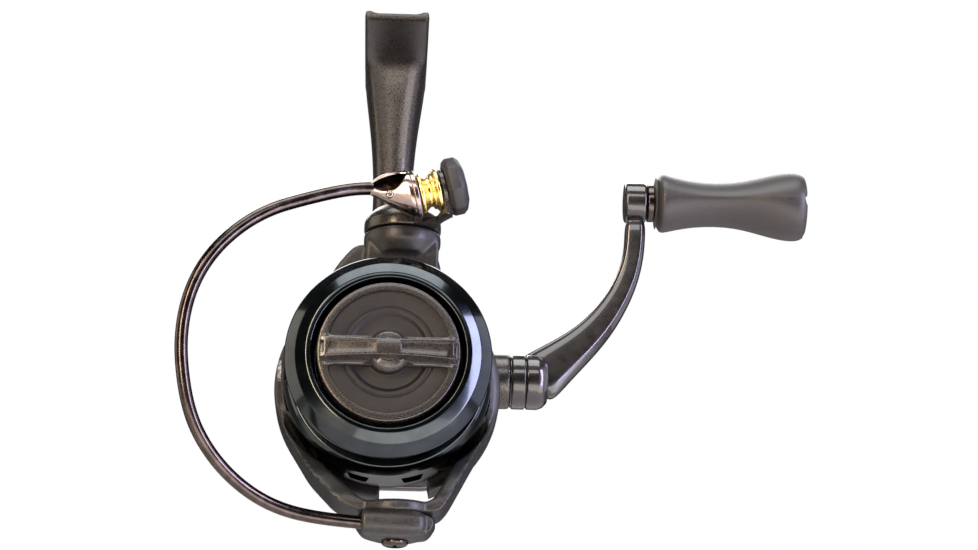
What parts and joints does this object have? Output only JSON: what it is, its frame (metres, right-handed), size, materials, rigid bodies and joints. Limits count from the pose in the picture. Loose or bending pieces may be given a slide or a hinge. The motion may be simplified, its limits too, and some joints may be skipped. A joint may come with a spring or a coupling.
{
  "type": "spinning reel",
  "caption": "Open-face fishing reel with a foot on a stem, a ported spool, a drag knob, a two-arm rotor, a wire bail with a line roller, and a cranked handle with a rubber grip.",
  "frame": {"origin": "middle of the flat strip along the top of the foot, where the rod seat bears", "axes": "+Z out of the foot towards the rod, -Y the way the spool faces, +X towards the handle"},
  "size_m": [0.1478, 0.0981, 0.1228],
  "materials": {
    "speckled_paint": "speckled metallic black-grey paint",
    "rotor_composite": "satin carbon-filled composite",
    "black_anodised": "gloss black anodised",
    "knob_plastic": "speckled dark plastic",
    "black_nickel": "black nickel plate",
    "gold_nitride": "gold titanium nitride",
    "matt_black_plastic": "matt moulded black",
    "gloss_paint": "gloss black-brown paint",
    "soft_rubber": "soft-touch rubber",
    "steel": "stainless steel",
    "brass": "machined brass",
    "drag_felt": "greased felt"
  },
  "bodies": {
    "body": {"body_housing": "speckled_paint", "side_cover": "speckled_paint", "cover_screw_1": "steel", "cover_screw_2": "steel", "cover_screw_3": "steel", "axle_cap": "matt_black_plastic", "rear_guard": "gloss_paint", "guard_screw": "steel", "drive_bearing_left": "steel", "drive_bearing_right": "steel", "pinion_bearing": "steel", "one_way_clutch": "steel", "guide_rod": "steel", "oscillation_stud": "steel"},
    "handle": {"handle_arm": "gloss_paint", "handle_collar": "gloss_paint", "grip_post": "steel", "grip_screw": "steel", "drive_shaft": "steel", "drive_gear": "brass", "oscillation_drive_pinion": "brass"},
    "grip": {"handle_grip": "soft_rubber", "grip_bushing_inner": "brass", "grip_bushing_outer": "brass", "grip_end_cap": "matt_black_plastic"},
    "oscillation": {"oscillation_gear": "brass"},
    "shaft": {"main_shaft": "steel", "slider_block": "brass", "slider_screw": "steel", "spool_support": "brass", "click_gear": "steel", "drag_washer_2": "steel"},
    "spool": {"spool": "black_anodised", "spool_bushing": "brass", "line_clip": "steel", "drag_washer_1": "drag_felt", "drag_washer_3": "drag_felt"},
    "drag_knob": {"drag_knob": "knob_plastic", "drag_nut": "brass", "drag_spring": "steel", "knob_seal": "soft_rubber"},
    "rotor": {"rotor": "rotor_composite", "arm_cover": "rotor_composite", "bail_spring": "steel", "kick_lever": "steel", "pinion_gear": "brass", "clutch_sleeve": "steel", "rotor_nut": "brass", "nut_lock_plate": "steel", "pivot_screw_upper": "steel", "pivot_screw_lower": "steel"},
    "bail": {"bail_lever": "speckled_paint", "line_cone": "black_nickel", "roller_screw": "steel", "roller_cap": "matt_black_plastic", "bail_wire": "black_nickel", "bail_holder": "rotor_composite"},
    "roller": {"line_roller": "gold_nitride", "roller_bushing": "brass"}
  },
  "joints": [
    {"name": "handle_spin", "type": "hinge", "parent": "body", "child": "handle", "pos_m": [0, 0.0195, -0.0734], "axis": [1, 0, 0], "continuous": true},
    {"name": "rotor_spin", "type": "hinge", "parent": "body", "child": "rotor", "pos_m": [0, -0.0065, -0.082], "axis": [0, 1, 0], "continuous": true},
    {"name": "oscillation_spin", "type": "hinge", "parent": "body", "child": "oscillation", "pos_m": [0.007, 0.0305, -0.081], "axis": [1, 0, 0], "continuous": true},
    {"name": "spool_slide", "type": "slide", "parent": "body", "child": "shaft", "axis": [0, 1, 0], "range_m": [-0.011, 0]},
    {"name": "spool_spin", "type": "hinge", "parent": "shaft", "child": "spool", "pos_m": [0, -0.0265, -0.082], "axis": [0, 1, 0], "continuous": true},
    {"name": "drag_knob_turn", "type": "hinge", "parent": "shaft", "child": "drag_knob", "pos_m": [0, -0.0365, -0.082], "axis": [0, 1, 0], "range_deg": [-360, 360]},
    {"name": "bail_pivot", "type": "hinge", "parent": "rotor", "child": "bail", "pos_m": [0.0025, -0.0185, -0.082], "axis": [0, 0, 1], "range_deg": [0, 105]},
    {"name": "roller_spin", "type": "hinge", "parent": "bail", "child": "roller", "pos_m": [0.0083, -0.0325, -0.0433], "axis": [0.9659, 0, 0.2588], "continuous": true},
    {"name": "grip_spin", "type": "hinge", "parent": "handle", "child": "grip", "pos_m": [0.08, 0.0195, -0.0274], "axis": [1, 0, 0], "continuous": true}
  ],
  "couplings": [
    {"joint": "rotor_spin", "follows": "handle_spin", "ratio": -4.8},
    {"joint": "oscillation_spin", "follows": "handle_spin", "ratio": -0.55556}
  ]
}
